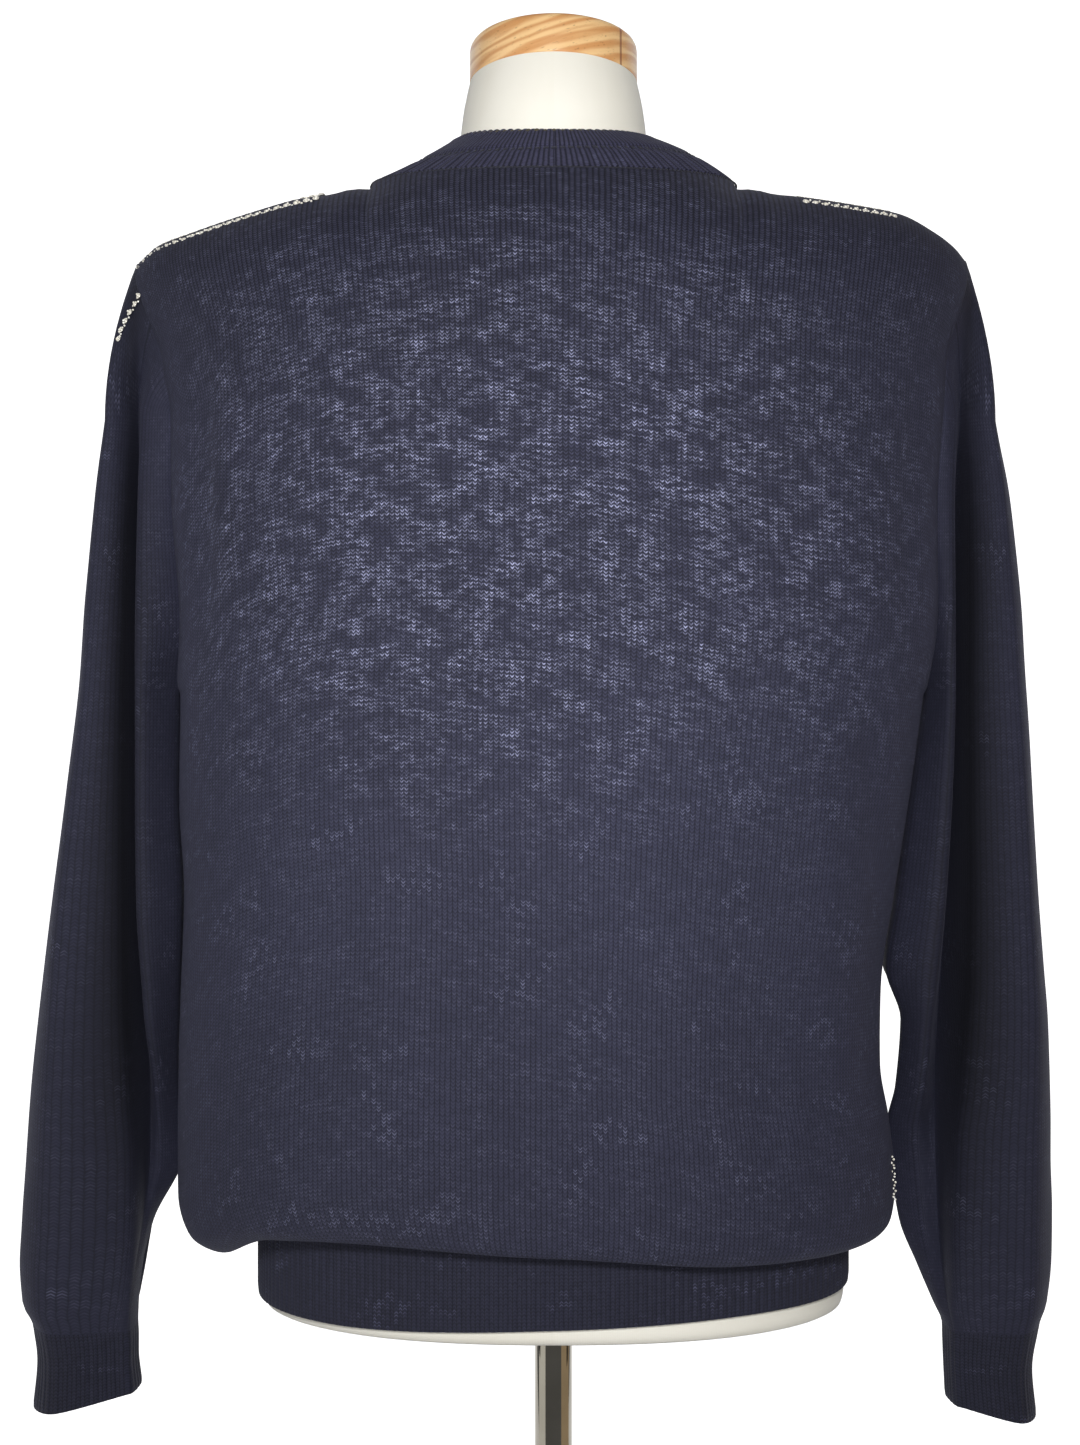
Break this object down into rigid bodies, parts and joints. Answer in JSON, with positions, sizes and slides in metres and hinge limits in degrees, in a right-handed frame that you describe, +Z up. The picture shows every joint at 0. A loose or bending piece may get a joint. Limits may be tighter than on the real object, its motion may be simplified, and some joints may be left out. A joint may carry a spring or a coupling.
{
  "type": "pullover sweater on a dress form",
  "caption": "Navy knitted pullover sweater with ribbed neckband, cuffs and hem, worn on a limbless ivory dress form with a wooden neck cap, chrome pole and round base",
  "frame": {"origin": "middle of the base's underside, on the floor and on the pole's axis", "axes": "+Z up; the wearer faces -Y, so the pictured back is +Y; +X is the wearer's left"},
  "size_m": [0.6012, 0.32, 1.5002],
  "materials": {
    "navy_knit": "matt stockinette knit",
    "navy_rib": "matt rib knit",
    "ivory_jersey": "smooth fine jersey",
    "pine": "clear lacquer",
    "chrome": "polished",
    "painted_steel": "satin"
  },
  "bodies": {
    "root": {"back_panel": "navy_knit", "front_panel": "navy_knit", "left_sleeve": "navy_knit", "right_sleeve": "navy_knit", "left_cuff": "navy_rib", "right_cuff": "navy_rib", "neckband": "navy_rib", "hem_band": "navy_rib", "form_torso": "ivory_jersey", "neck_cap": "pine", "pole": "chrome", "base": "painted_steel"}
  },
  "joints": []
}
